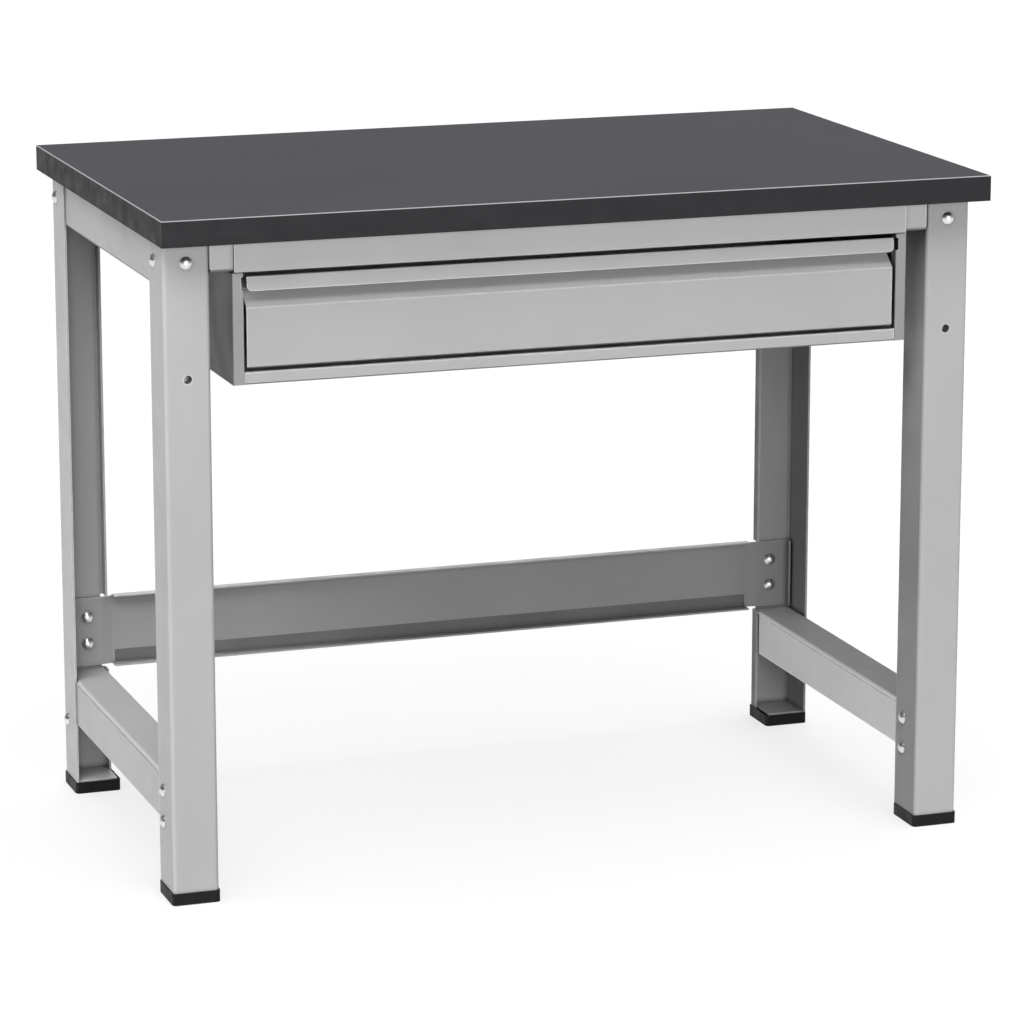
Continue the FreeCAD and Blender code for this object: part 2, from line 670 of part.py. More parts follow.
def place_group(label, master, places):
    """Copies of one fastener: each place is its head's direction and its seat."""
    links = []
    for direction, x, y, z in places:
        link = document.addObject("App::Link", f"{label}_piece")
        link.LinkedObject = master
        link.LinkTransform = False
        link.Placement = FreeCAD.Placement(FreeCAD.Vector(0, 0, 0),
                                           FreeCAD.Rotation(*TURNS[direction]))
        for axis, expression in (("x", x), ("y", y), ("z", z)):
            link.setExpression(f"Placement.Base.{axis}", expression)
        links.append(link)
    group = document.addObject("Part::Compound", label)
    group.Label = label
    group.Links = links
    parts.append(group)


def facing(axis, sign):
    return ("+" if sign > 0 else "-") + axis


def make_fasteners():
    short_bolt = make_bolt("short_bolt", "Dims.bolt_radius", "Dims.bolt_head_radius",
                           "Dims.bolt_head_height", "14")
    nut = make_nut("nut_master")
    screw = make_bolt("screw_master", "Dims.screw_radius", "Dims.screw_head_radius",
                      "Dims.screw_head_height", "Dims.screw_length + Dims.rail_sheet - 1")
    small_screw = make_bolt("small_screw_master", "Dims.screw_radius", "Dims.screw_head_radius",
                            "Dims.screw_head_height",
                            "Dims.screw_length + Dims.housing_sheet - 1")

    groups = {name: ([], []) for name in
              ("corner", "side_rail", "lower_rail", "crossbar", "stretcher")}

    def add(group, axis, head_sign, head, nut_seat):
        groups[group][0].append((facing(axis, head_sign), *head))
        groups[group][1].append((facing(axis, -head_sign), *nut_seat))

    for side in (-1, 1):
        middle = times(side, LEG_MIDDLE)
        outer = times(side, LEG_OUTER)
        seat = times(side, NUT_SEAT)
        inner = times(side, LEG_INNER)
        inner_seat = times(side, INNER_NUT_SEAT)
        for end in (-1, 1):
            add("corner", "y", end, (middle, times(end, LEG_FACE), CORNER_BOLT_LEVEL),
                (middle, times(end, TAB_INSIDE), CORNER_BOLT_LEVEL))
            flange_y = times(end, FRONT_FLANGE_BOLT if end < 0 else REAR_FLANGE_BOLT)
            add("side_rail", "x", side, (outer, flange_y, SIDE_BOLT_LEVEL),
                (seat, flange_y, SIDE_BOLT_LEVEL))
            levels = RAIL_BOLT_LEVELS if end < 0 else [REAR_RAIL_BOLT_LEVEL]
            for level in levels:
                add("lower_rail", "x", side, (outer, flange_y, level), (seat, flange_y, level))
                if end < 0:
                    add("lower_rail", "x", -side, (inner, flange_y, level),
                        (inner_seat, flange_y, level))
            crossbar_y = times(end, FRONT_CROSSBAR_BOLT if end < 0 else REAR_CROSSBAR_BOLT)
            add("crossbar", "x", -side,
                (times(side, f"{LEG_INNER} - Dims.rail_sheet"), crossbar_y, CROSSBAR_BOLT_LEVEL),
                (times(side, CHANNEL_INNER), crossbar_y, CROSSBAR_BOLT_LEVEL))
        for level in STRETCHER_BOLT_LEVELS:
            place = times(side, STRETCHER_BOLT)
            add("stretcher", "y", -1, (place, TAB_INSIDE, level), (place, LEG_FACE, level))

    for name, (bolts, nuts) in groups.items():
        place_group(f"{name}_bolts", short_bolt, bolts)
        place_group(f"{name}_nuts", nut, nuts)
    rail_level = f"{UNDERSIDE} - Dims.rail_sheet"
    place_group("worktop_screws", screw, [("-z", x, y, rail_level) for x, y in SCREWS["rail"]])
    housing_level = f"{UNDERSIDE} - Dims.housing_sheet"
    place_group("housing_screws", small_screw,
                [("-z", x, y, housing_level) for x, y in SCREWS["housing"]])


# --------------------------------------------------------------- housing

HOUSING_OUTER = "Dims.housing_half"
STILE_INNER = "(Dims.housing_half - Dims.stile_width)"
HOUSING_LOW = f"({UNDERSIDE} - Dims.housing_height)"
HOUSING_WALL = "(Dims.housing_half - Dims.housing_sheet)"
STILE_HIGH = f"({UNDERSIDE} - Dims.fascia_height - 1.5)"
BEHIND_CROSSBAR = f"(-({LEG_FACE} - Dims.crossbar_flange) + 3)"
SLIDE_SEAT = f"({STILE_INNER} + 0.2)"
SLIDE_BACK = "(Dims.slide_front + Dims.slide_length)"


def make_housing_side(side_name, side):
    """A folded side with the front stile, a rear flange and a top screw flange."""
    wall = new_body(f"housing_side_{side_name}")
    path = [
        (times(side, STILE_INNER), f"-{LEG_FACE} + 13"),
        (times(side, STILE_INNER), f"-{LEG_FACE}"),
        (times(side, HOUSING_OUTER), f"-{LEG_FACE}"),
        (times(side, HOUSING_OUTER), "Dims.housing_back"),
        (times(side, f"{HOUSING_OUTER} - 24"), "Dims.housing_back"),
    ]
    folded(wall, "XY_Plane", path, "Dims.housing_sheet", HOUSING_LOW, STILE_HIGH, -side,
           "Dims.housing_sheet * 1.6")
    upper_low, upper_high = sorted([times(side, HOUSING_OUTER), times(side, HOUSING_WALL)],
                                   key=number)
    upper = rectangle(BEHIND_CROSSBAR, "Dims.housing_back - 3", f"{STILE_HIGH} - 1", UNDERSIDE)
    pad(wall, "YZ_Plane", upper, upper_low, upper_high)
    flange = rectangle(times(side, f"{HOUSING_OUTER} - 24"), times(side, f"{HOUSING_OUTER} - 1"),
                       BEHIND_CROSSBAR, "Dims.housing_back - 3")
    pad(wall, "XY_Plane", flange, f"{UNDERSIDE} - Dims.housing_sheet", UNDERSIDE)
    screws = [(times(side, HOUSING_SCREW_X), str(along)) for along in HOUSING_SCREWS_Y]
    remove(wall, "XY_Plane", f"{UNDERSIDE} - Dims.housing_sheet", UNDERSIDE,
           holes=screws, radius=SCREW_HOLE)
    notch = rectangle(times(side, f"{STILE_INNER} - 1"), times(side, f"{STILE_INNER} + 3"),
                      f"-{LEG_FACE} - 1", f"-{LEG_FACE} + 14")
    remove(wall, "XY_Plane", "Dims.grip_top - Dims.grip_lip + 1", "Dims.grip_top - 1",
           corners=notch)

    spacer = new_body(f"slide_spacer_{side_name}")
    half = "(Dims.slide_height / 2)"
    spacer_path = [
        (times(side, HOUSING_WALL), f"Dims.slide_centre - {half}"),
        (times(side, SLIDE_SEAT), f"Dims.slide_centre - {half}"),
        (times(side, SLIDE_SEAT), f"Dims.slide_centre + {half}"),
        (times(side, HOUSING_WALL), f"Dims.slide_centre + {half}"),
    ]
    folded(spacer, "XZ_Plane", spacer_path, "Dims.housing_sheet", "Dims.slide_front",
           "Dims.housing_back - 6", side, "Dims.housing_sheet * 1.6")


def make_housing():
    for side_name, side in SIDES.items():
        make_housing_side(side_name, side)

    fascia = new_body("housing_fascia")
    front = f"(-{LEG_FACE} - Dims.fascia_thickness)"
    fascia_low = f"({UNDERSIDE} - Dims.fascia_height - 0.5)"
    outline = rectangle(front, f"-{LEG_FACE}", fascia_low, f"{UNDERSIDE} - 0.5")
    half = f"({HOUSING_OUTER} - 2)"
    pad(fascia, "YZ_Plane", outline, f"-{half}", half)
    round_edges(fascia, "YZ_Plane", [outline[0], outline[3]], "1")

    rail = new_body("housing_front_rail")
    rail_front = f"(-{LEG_FACE} + 1)"
    rail_top = f"({HOUSING_LOW} + Dims.bottom_rail_height)"
    path = [
        (f"{rail_front} + 60", rail_top),
        (rail_front, rail_top),
        (rail_front, HOUSING_LOW),
        (f"{rail_front} + 28", HOUSING_LOW),
    ]
    folded(rail, "YZ_Plane", path, "Dims.housing_sheet", f"-{STILE_INNER}", STILE_INNER, -1,
           "Dims.housing_sheet * 1.6")

    back = new_body("housing_back")
    corners = rectangle(f"-{HOUSING_WALL}", HOUSING_WALL, HOUSING_LOW, f"{UNDERSIDE} - 2")
    pad(back, "XZ_Plane", corners, "Dims.housing_back",
        "Dims.housing_back + Dims.housing_sheet")


# ---------------------------------------------------------------- slides

def channel_path(side, web, lip, half_height):
    """A lying channel section: the web at one distance, both lips reaching another."""
    low = f"Dims.slide_centre - {half_height}"
    high = f"Dims.slide_centre + {half_height}"
    return [(times(side, lip), low), (times(side, web), low),
            (times(side, web), high), (times(side, lip), high)]


OUTER_LIP = f"({SLIDE_SEAT} - 9)"
MIDDLE_WEB = f"({SLIDE_SEAT} - 4.2)"
MIDDLE_LIP = f"({SLIDE_SEAT} - 10.6)"
INNER_WEB = f"({SLIDE_SEAT} - Dims.slide_thickness)"
INNER_LIP = f"({SLIDE_SEAT} - 6.6)"
OUTER_HALF = "(Dims.slide_height / 2)"
MIDDLE_HALF = f"({OUTER_HALF} - 3.5)"
INNER_HALF = f"({OUTER_HALF} - 7)"
BALL_COUNT = 8
BALL_PITCH = 14


def make_ball_retainer(label, side, across, level_offset, start):
    """A strip above and one below the channel, each with a row of balls."""
    length = (BALL_COUNT + 0.6) * BALL_PITCH
    strip_width = 4
    strip_height = 0.6
    pieces = []
    for row_sign in (-1, 1):
        level = f"(Dims.slide_centre + {row_sign} * ({level_offset}))"
        strip = document.addObject("Part::Box", f"{label}_strip")
        strip.Length = strip_width
        strip.Width = length
        strip.Height = strip_height
        strip.setExpression("Placement.Base.x", f"{times(side, across)} - {strip_width / 2}")
        strip.setExpression("Placement.Base.y", start)
        strip.setExpression("Placement.Base.z", f"{level} - {strip_height / 2}")
        holes = []
        for index in range(BALL_COUNT):
            along = f"{start} + {(index + 0.8) * BALL_PITCH}"
            for kind, store in (("Sphere", pieces), ("Cylinder", holes)):
                item = document.addObject(f"Part::{kind}", f"{label}_{kind}")
                clearance = "" if kind == "Sphere" else " + 0.05"
                item.setExpression("Radius", f"Dims.ball_radius{clearance}")
                item.setExpression("Placement.Base.x", times(side, across))
                item.setExpression("Placement.Base.y", along)
                if kind == "Cylinder":
                    item.Height = 2 * strip_height
                    item.setExpression("Placement.Base.z", f"{level} - {strip_height}")
                else:
                    item.setExpression("Placement.Base.z", level)
                store.append(item)
        drills = document.addObject("Part::MultiFuse", f"{label}_drills")
        drills.Shapes = holes
        cage = document.addObject("Part::Cut", f"{label}_cage")
        cage.Base = strip
        cage.Tool = drills
        pieces.append(cage)
    group = document.addObject("Part::Compound", label)
    group.Label = label
    group.Links = pieces
    parts.append(group)


def make_slide(side_name, side):
    fixed = new_body(f"slide_fixed_{side_name}")
    folded(fixed, "XZ_Plane", channel_path(side, SLIDE_SEAT, OUTER_LIP, OUTER_HALF),
           "Dims.slide_sheet", "Dims.slide_front", SLIDE_BACK, -side)
    middle = new_body(f"slide_middle_{side_name}")
    folded(middle, "XZ_Plane", channel_path(side, MIDDLE_WEB, MIDDLE_LIP, MIDDLE_HALF),
           "Dims.slide_sheet", "Dims.slide_front", f"{SLIDE_BACK} - 10", -side)
    inner = new_body(f"slide_inner_{side_name}")
    folded(inner, "XZ_Plane", channel_path(side, INNER_WEB, INNER_LIP, INNER_HALF),
           "Dims.slide_sheet", "Dims.slide_front", f"{SLIDE_BACK} - 10", side)
    outer_gap = f"(({OUTER_HALF} - Dims.slide_sheet) + {MIDDLE_HALF}) / 2"
    inner_gap = f"(({MIDDLE_HALF} - Dims.slide_sheet) + {INNER_HALF}) / 2"
    make_ball_retainer(f"ball_cage_outer_{side_name}", side, f"({MIDDLE_LIP} + 3.7)", outer_gap,
                       "Dims.slide_front + 80")
    make_ball_retainer(f"ball_cage_inner_{side_name}", side, f"({MIDDLE_LIP} + 2)", inner_gap,
                       "Dims.slide_front + 80")


# ---------------------------------------------------------------- drawer

DRAWER_FACE = f"(-{LEG_FACE} + 2)"
DRAWER_FACE_BACK = f"({DRAWER_FACE} + Dims.drawer_sheet)"
DRAWER_BACK = f"({SLIDE_BACK} - 14)"
GRIP_BACK = f"({DRAWER_FACE} + Dims.grip_depth)"
DRAWER_WALL = "(Dims.drawer_half - 1)"
TRAY_FLOOR = "(Dims.drawer_bottom + 1)"


def make_drawer_front():
    """One folded sheet: grip lip, finger recess, flat face and bottom return."""
    front = new_body("drawer_front")
    path = [
        (f"{DRAWER_FACE} - 4", "Dims.grip_top - Dims.grip_lip"),
        (f"{DRAWER_FACE} - 2.5", "Dims.grip_top"),
        (GRIP_BACK, "Dims.grip_top - 8"),
        (GRIP_BACK, "Dims.crease_level + 17.5"),
        (DRAWER_FACE_BACK, "Dims.crease_level"),
        (DRAWER_FACE_BACK, "Dims.drawer_front_bottom + Dims.drawer_sheet"),
        (f"{DRAWER_FACE_BACK} + 16", "Dims.drawer_front_bottom + Dims.drawer_sheet"),
    ]
    half = "Dims.drawer_front_half"
    folded(front, "YZ_Plane", path, "Dims.drawer_sheet", f"-{half}", half, 1)
    outline = folded_outline(path, "Dims.drawer_sheet", 1)
    round_edges(front, "YZ_Plane", [path[1], outline[8]], "1.8")
    returns = rectangle(DRAWER_FACE_BACK, f"{DRAWER_FACE_BACK} + 14",
                        "Dims.drawer_front_bottom + 2", "Dims.crease_level - 2")
    for side in (-1, 1):
        ends = sorted([times(side, half), times(side, f"{half} - Dims.drawer_sheet")],
                      key=number)
        pad(front, "YZ_Plane", returns, *ends)
    document.recompute()
    base = front.Tip
    lip_low = number("Dims.grip_top - Dims.grip_lip")
    names = []
    for index, edge in enumerate(base.Shape.Edges, start=1):
        spans = edge.BoundBox
        at_end = abs(abs(spans.Center.x) - number(half)) < 0.01 and spans.XLength < 0.01
        if at_end and spans.Center.z < lip_low + 1 and spans.Center.z > lip_low - 1:
            if spans.YLength > spans.ZLength and spans.YMax < number(DRAWER_FACE):
                names.append(f"Edge{index}")
    corners = front.newObject("PartDesign::Fillet", "grip_corners")
    corners.Base = (base, names)
    corners.setExpression("Radius", "Dims.grip_corner")
    front.Tip = corners


def make_drawer_side(side_name, side):
    wall = new_body(f"drawer_side_{side_name}")
    path = [
        (times(side, "Dims.drawer_half - 10"), "Dims.drawer_top"),
        (times(side, "Dims.drawer_half"), "Dims.drawer_top"),
        (times(side, "Dims.drawer_half"), "Dims.drawer_bottom"),
        (times(side, "Dims.drawer_half - 14"), "Dims.drawer_bottom"),
    ]
    folded(wall, "XZ_Plane", path, "1", f"{GRIP_BACK} + 0.5", DRAWER_BACK, side)
    ends = sorted([times(side, "Dims.drawer_half"), times(side, DRAWER_WALL)], key=number)
    nose = rectangle(DRAWER_FACE_BACK, f"{GRIP_BACK} + 0.5", "Dims.drawer_bottom",
                     "Dims.crease_level - 4")
    pad(wall, "YZ_Plane", nose, *ends)
    tab = rectangle(times(side, "Dims.drawer_half - 18"), times(side, "Dims.drawer_half"),
                    "Dims.drawer_bottom + 4", "Dims.crease_level - 4")
    pad(wall, "XZ_Plane", tab, DRAWER_FACE_BACK, f"{DRAWER_FACE_BACK} + 1")


def make_drawer():
    make_drawer_front()
    for side_name, side in SIDES.items():
        make_drawer_side(side_name, side)
    floor = new_body("drawer_bottom")
    pad(floor, "XY_Plane",
        rectangle(f"-{DRAWER_WALL}", DRAWER_WALL, f"{DRAWER_FACE_BACK} + 1", DRAWER_BACK),
        TRAY_FLOOR, f"{TRAY_FLOOR} + 1")
    back = new_body("drawer_back")
    path = [
        (f"{DRAWER_BACK} - 10", "Dims.drawer_top - 1"),
        (DRAWER_BACK, "Dims.drawer_top - 1"),
        (DRAWER_BACK, f"{TRAY_FLOOR} + 1"),
        (f"{DRAWER_BACK} - 12", f"{TRAY_FLOOR} + 1"),
    ]
    folded(back, "YZ_Plane", path, "1", f"-{DRAWER_WALL}", DRAWER_WALL, 1)


# ------------------------------------------------------------ the bench

def main():
    make_worktop()
    for side_name, side in SIDES.items():
        for end_name, end in ENDS.items():
            make_leg(side_name, side, end_name, end)
            make_foot(side_name, side, end_name, end)
        make_insert(side_name, side)
        make_upper_side_rail(side_name, side)
        make_lower_side_rail(side_name, side)
        make_slide(side_name, side)
    for end_name, end in ENDS.items():
        make_crossbar(end_name, end)
    make_rear_stretcher()
    make_housing()
    make_drawer()
    make_fasteners()
    document.recompute()
    for item in document.Objects:
        if "Invalid" in item.State or "Error" in item.State:
            raise ValueError(f"{item.Label} failed: {item.State}")
    for part in parts:
        if part.Shape.isNull() or not part.Shape.isValid():
            raise ValueError(f"{part.Label} is not a valid solid")
    os.makedirs("parts", exist_ok=True)
    for part in parts:
        part.Shape.exportStep(f"parts/{part.Label}.step")
        print(part.Label, round(part.Shape.Volume), len(part.Shape.Solids))


main()
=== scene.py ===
import bpy
import json
import math
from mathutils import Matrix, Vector


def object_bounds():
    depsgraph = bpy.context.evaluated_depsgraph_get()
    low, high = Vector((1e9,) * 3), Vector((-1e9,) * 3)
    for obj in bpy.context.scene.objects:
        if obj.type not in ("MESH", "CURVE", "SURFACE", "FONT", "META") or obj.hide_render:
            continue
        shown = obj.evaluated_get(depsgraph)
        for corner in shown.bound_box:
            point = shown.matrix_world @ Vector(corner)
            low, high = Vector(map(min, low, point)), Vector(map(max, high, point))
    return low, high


# A steel workbench with one drawer: procedural finishes on the CAD pieces, plain studio light and
# one camera. Everything is in metres, in the CAD's own frame.

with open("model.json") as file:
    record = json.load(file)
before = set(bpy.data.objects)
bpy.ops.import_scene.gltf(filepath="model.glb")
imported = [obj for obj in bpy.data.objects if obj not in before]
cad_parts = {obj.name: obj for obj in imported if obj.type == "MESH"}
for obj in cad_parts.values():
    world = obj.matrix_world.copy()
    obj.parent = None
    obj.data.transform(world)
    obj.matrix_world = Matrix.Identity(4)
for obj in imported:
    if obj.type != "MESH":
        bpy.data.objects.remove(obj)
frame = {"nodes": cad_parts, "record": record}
cad_low, cad_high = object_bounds()
nodes = frame["nodes"]


# ------------------------------------------------------------- node helpers

class Finish:
    """A procedural material built round one Principled shader."""

    def __init__(self, name, **sockets):
        self.material = bpy.data.materials.new(name)
        self.material.use_nodes = True
        self.tree = self.material.node_tree
        self.shader = self.tree.nodes["Principled BSDF"]
        for socket, value in sockets.items():
            self.shader.inputs[socket.replace("_", " ")].default_value = value
        self.place = self.tree.nodes.new("ShaderNodeNewGeometry").outputs["Position"]

    def node(self, kind, **settings):
        made = self.tree.nodes.new(kind)
        for key, value in settings.items():
            setattr(made, key, value)
        return made

    def link(self, source, target):
        self.tree.links.new(source, target)

    def stretched(self, scale):
        """The surface's position, stretched along each axis."""
        mapping = self.node("ShaderNodeMapping")
        mapping.inputs["Scale"].default_value = scale
        self.link(self.place, mapping.inputs["Vector"])
        return mapping.outputs["Vector"]

    def noise(self, scale, detail=2.0, roughness=0.5, stretch=None):
        made = self.node("ShaderNodeTexNoise")
        made.inputs["Scale"].default_value = scale
        made.inputs["Detail"].default_value = detail
        made.inputs["Roughness"].default_value = roughness
        self.link(self.stretched(stretch) if stretch else self.place, made.inputs["Vector"])
        return made.outputs["Fac"]

    def spots(self, scale):
        made = self.node("ShaderNodeTexVoronoi")
        made.inputs["Scale"].default_value = scale
        self.link(self.place, made.inputs["Vector"])
        return made.outputs["Distance"], made.outputs["Color"]

    def span(self, value, low, high, to_low, to_high):
        """value, mapped from low..high onto to_low..to_high and clamped."""
        made = self.node("ShaderNodeMapRange")
        self.link(value, made.inputs["Value"])
        for name, number in (("From Min", low), ("From Max", high),
                             ("To Min", to_low), ("To Max", to_high)):
            made.inputs[name].default_value = number
        return made.outputs["Result"]

    def blend(self, amount, first, second):
        """The mix of two colours; each is a socket or a plain (r, g, b)."""
        made = self.node("ShaderNodeMix", data_type="RGBA")
        self.link(amount, made.inputs["Factor"])
        for socket, colour in ((made.inputs[6], first), (made.inputs[7], second)):
            if isinstance(colour, tuple):
                socket.default_value = (*colour, 1)
            else:
                self.link(colour, socket)
        return made.outputs[2]

    def product(self, first, second):
        made = self.node("ShaderNodeMath", operation="MULTIPLY")
        self.link(first, made.inputs[0])
        self.link(second, made.inputs[1])
        return made.outputs["Value"]

    def total(self, first, second):
        made = self.node("ShaderNodeMath", operation="ADD")
        self.link(first, made.inputs[0])
        self.link(second, made.inputs[1])
        return made.outputs["Value"]

    def edges(self, width, samples=4):
        """1 on a rounded-over edge, 0 on a flat face."""
        bevel = self.node("ShaderNodeBevel", samples=samples)
        bevel.inputs["Radius"].default_value = width
        normal = self.node("ShaderNodeNewGeometry").outputs["Normal"]
        dot = self.node("ShaderNodeVectorMath", operation="DOT_PRODUCT")
        self.link(bevel.outputs["Normal"], dot.inputs[0])
        self.link(normal, dot.inputs[1])
        return self.span(dot.outputs["Value"], 0.999, 0.86, 0.0, 1.0)

    def seams(self, reach):
        """1 deep in a joint or an inside corner, 0 in the open, found by ambient occlusion: the
        mask for painted shade.
        """
        made = self.node("ShaderNodeAmbientOcclusion", samples=4)
        made.inputs["Distance"].default_value = reach
        return self.span(made.outputs["AO"], 0.45, 0.92, 1.0, 0.0)

    def underside(self):
        """1 on a face that looks downward, 0 on an upright one."""
        normal = self.node("ShaderNodeNewGeometry").outputs["Normal"]
        parts = self.node("ShaderNodeSeparateXYZ")
        self.link(normal, parts.inputs["Vector"])
        return self.span(parts.outputs["Z"], -0.12, -0.07, 1.0, 0.0)

    def slope(self):
        """1 on a face that leans at 45 degrees, 0 on a level or an upright one."""
        normal = self.node("ShaderNodeNewGeometry").outputs["Normal"]
        parts = self.node("ShaderNodeSeparateXYZ")
        self.link(normal, parts.inputs["Vector"])
        upright = self.span(parts.outputs["Z"], 0.35, 0.6, 0.0, 1.0)
        level = self.span(parts.outputs["Z"], 0.8, 0.95, 1.0, 0.0)
        return self.product(upright, level)

    def bump(self, height, strength, distance):
        made = self.node("ShaderNodeBump")
        made.inputs["Strength"].default_value = strength
        made.inputs["Distance"].default_value = distance
        self.link(height, made.inputs["Height"])
        self.link(made.outputs["Normal"], self.shader.inputs["Normal"])

    def colour(self, socket):
        self.link(socket, self.shader.inputs["Base Color"])

    def roughness(self, socket):
        self.link(socket, self.shader.inputs["Roughness"])


# ----------------------------------------------------------------- finishes

def powder_coat(name, base, dust=0.9):
    """Light grey satin paint: orange peel, clouding, painted highlights on the edges, painted
    shade in joints and inside corners, and painted shade on downward-facing faces.
    """
    finish = Finish(name, IOR=1.46, Specular_IOR_Level=0.45)
    clouds = finish.span(finish.noise(6.0, 3.0), 0.3, 0.7, 0.0, 1.0)
    light = tuple(min(1.0, channel * 1.035) for channel in base)
    dark = tuple(channel * 0.965 for channel in base)
    body = finish.blend(clouds, dark, light)
    specks = finish.span(finish.noise(900.0, 2.0), 0.66, 0.78, 0.0, 0.25)
    body = finish.blend(specks, body, tuple(channel * dust for channel in base))
    # Painted highlight: rounded-over edges, broken up by noise, are lightened to about twice the
    # base colour.
    painted_edge_highlight = finish.product(finish.edges(0.0022), finish.span(finish.noise(45.0, 4.0),
                                                           0.35, 0.65, 0.55, 1.0))
    body = finish.blend(painted_edge_highlight, body, tuple(min(1.0, channel * 2.1) for channel in base))
    # Painted shade: joints and inside corners found by a short ambient-occlusion reach are
    # darkened nearly to black.
    painted_seam_shade = finish.product(finish.seams(0.007), finish.span(finish.noise(80.0, 3.0),
                                                            0.3, 0.7, 0.7, 0.95))
    body = finish.blend(painted_seam_shade, body, tuple(channel * 0.08 for channel in base))
    # Painted shade: faces that lean downward are darkened to about a third of the base colour.
    painted_underside_shade = finish.product(finish.underside(), finish.span(finish.noise(12.0, 2.0),
                                                           0.3, 0.7, 0.65, 0.85))
    body = finish.blend(painted_underside_shade, body, tuple(channel * 0.35 for channel in base))
    finish.colour(body)
    finish.roughness(finish.span(finish.noise(28.0, 4.0), 0.3, 0.7, 0.40, 0.54))
    peel = finish.total(finish.span(finish.noise(420.0, 2.0), 0.0, 1.0, 0.0, 1.0),
                        finish.span(finish.noise(60.0, 2.0), 0.0, 1.0, 0.0, 0.6))
    finish.bump(peel, 0.16, 0.0004)
    return finish.material


def worktop_laminate():
    """Dark grey laminate with a fine speckled print, a pearl texture and a painted highlight on
    its chamfered rim.
    """
    finish = Finish("worktop_laminate", IOR=1.5, Specular_IOR_Level=0.2)
    base = (0.063, 0.060, 0.069)
    clouds = finish.span(finish.noise(3.0, 2.0), 0.3, 0.7, 0.0, 1.0)
    body = finish.blend(clouds, tuple(channel * 0.97 for channel in base),
                        tuple(channel * 1.03 for channel in base))
    fine = finish.span(finish.noise(750.0, 3.0, 0.7), 0.40, 0.62, 0.0, 1.0)
    body = finish.blend(fine, body, tuple(channel * 1.3 for channel in base))
    flecks = finish.span(finish.noise(1100.0, 1.0), 0.64, 0.72, 0.0, 0.75)
    body = finish.blend(flecks, body, tuple(channel * 0.5 for channel in base))
    # Painted highlight: the 45-degree chamfer faces along the rim are coloured light grey.
    body = finish.blend(finish.slope(), body, (0.52, 0.51, 0.53))
    finish.colour(body)
    finish.roughness(finish.span(finish.noise(4.0, 3.0), 0.3, 0.7, 0.50, 0.56))
    finish.bump(finish.noise(900.0, 2.0), 0.22, 0.0003)
    return finish.material


def edge_band(name, base):
    """Plain dark edging with a fine grained skin."""
    finish = Finish(name, IOR=1.5, Specular_IOR_Level=0.15)
    clouds = finish.span(finish.noise(9.0, 4.0, stretch=(1, 1, 6)), 0.3, 0.7, 0.0, 1.0)
    body = finish.blend(clouds, tuple(channel * 0.94 for channel in base),
                        tuple(channel * 1.06 for channel in base))
    fine = finish.span(finish.noise(800.0, 2.0), 0.45, 0.7, 0.0, 0.5)
    body = finish.blend(fine, body, tuple(channel * 1.3 for channel in base))
    finish.colour(body)
    finish.roughness(finish.span(finish.noise(40.0, 3.0), 0.3, 0.7, 0.45, 0.6))
    finish.bump(finish.noise(700.0, 2.0), 0.2, 0.0003)
    return finish.material


def black_plastic():
    """Moulded black plastic with a fine spark-eroded texture and scuffed edges."""
    finish = Finish("black_plastic", IOR=1.49, Specular_IOR_Level=0.15)
    base = (0.0035, 0.0035, 0.004)
    scuffs = finish.span(finish.noise(70.0, 5.0, 0.65), 0.52, 0.72, 0.0, 0.6)
    body = finish.blend(scuffs, base, (0.014, 0.014, 0.015))
    body = finish.blend(finish.product(finish.edges(0.0015), finish.span(
        finish.noise(90.0, 3.0), 0.4, 0.7, 0.2, 0.8)), body, (0.026, 0.026, 0.027))
    finish.colour(body)
    finish.roughness(finish.span(finish.noise(55.0, 4.0), 0.3, 0.7, 0.38, 0.58))
    finish.bump(finish.noise(1300.0, 2.0), 0.35, 0.0003)
    return finish.material


def zinc(name, base, stretch=(1, 1, 1), rough=(0.2, 0.36)):
    """Zinc plated steel: a soft metal sheen with faint streaks and dull patches."""
    finish = Finish(name, Metallic=1.0)
    streaks = finish.span(finish.noise(220.0, 4.0, 0.6, stretch), 0.3, 0.7, 0.0, 1.0)
    body = finish.blend(streaks, tuple(channel * 0.86 for channel in base),
                        tuple(min(1.0, channel * 1.08) for channel in base))
    patches = finish.span(finish.noise(60.0, 3.0), 0.5, 0.75, 0.0, 0.35)
    body = finish.blend(patches, body, (0.52, 0.53, 0.50))
    finish.colour(body)
    finish.roughness(finish.span(finish.noise(160.0, 4.0, 0.5, stretch), 0.3, 0.7, *rough))
    finish.bump(finish.noise(420.0, 3.0, 0.5, stretch), 0.12, 0.0002)
    return finish.material


def chipboard():
    """Raw chipboard: pressed flakes of several browns."""
    finish = Finish("chipboard", IOR=1.4, Specular_IOR_Level=0.25)
    distance, colour = finish.spots(420.0)
    shade = finish.node("ShaderNodeSeparateColor")
    finish.link(colour, shade.inputs["Color"])
    body = finish.blend(shade.outputs["Red"], (0.30, 0.19, 0.10), (0.62, 0.46, 0.29))
    body = finish.blend(finish.span(finish.noise(160.0, 3.0), 0.5, 0.7, 0.0, 0.5),
                        body, (0.22, 0.13, 0.07))
    finish.colour(body)
    finish.roughness(finish.span(finish.noise(90.0, 3.0), 0.3, 0.7, 0.7, 0.9))
    finish.bump(distance, 0.5, 0.0006)
    return finish.material


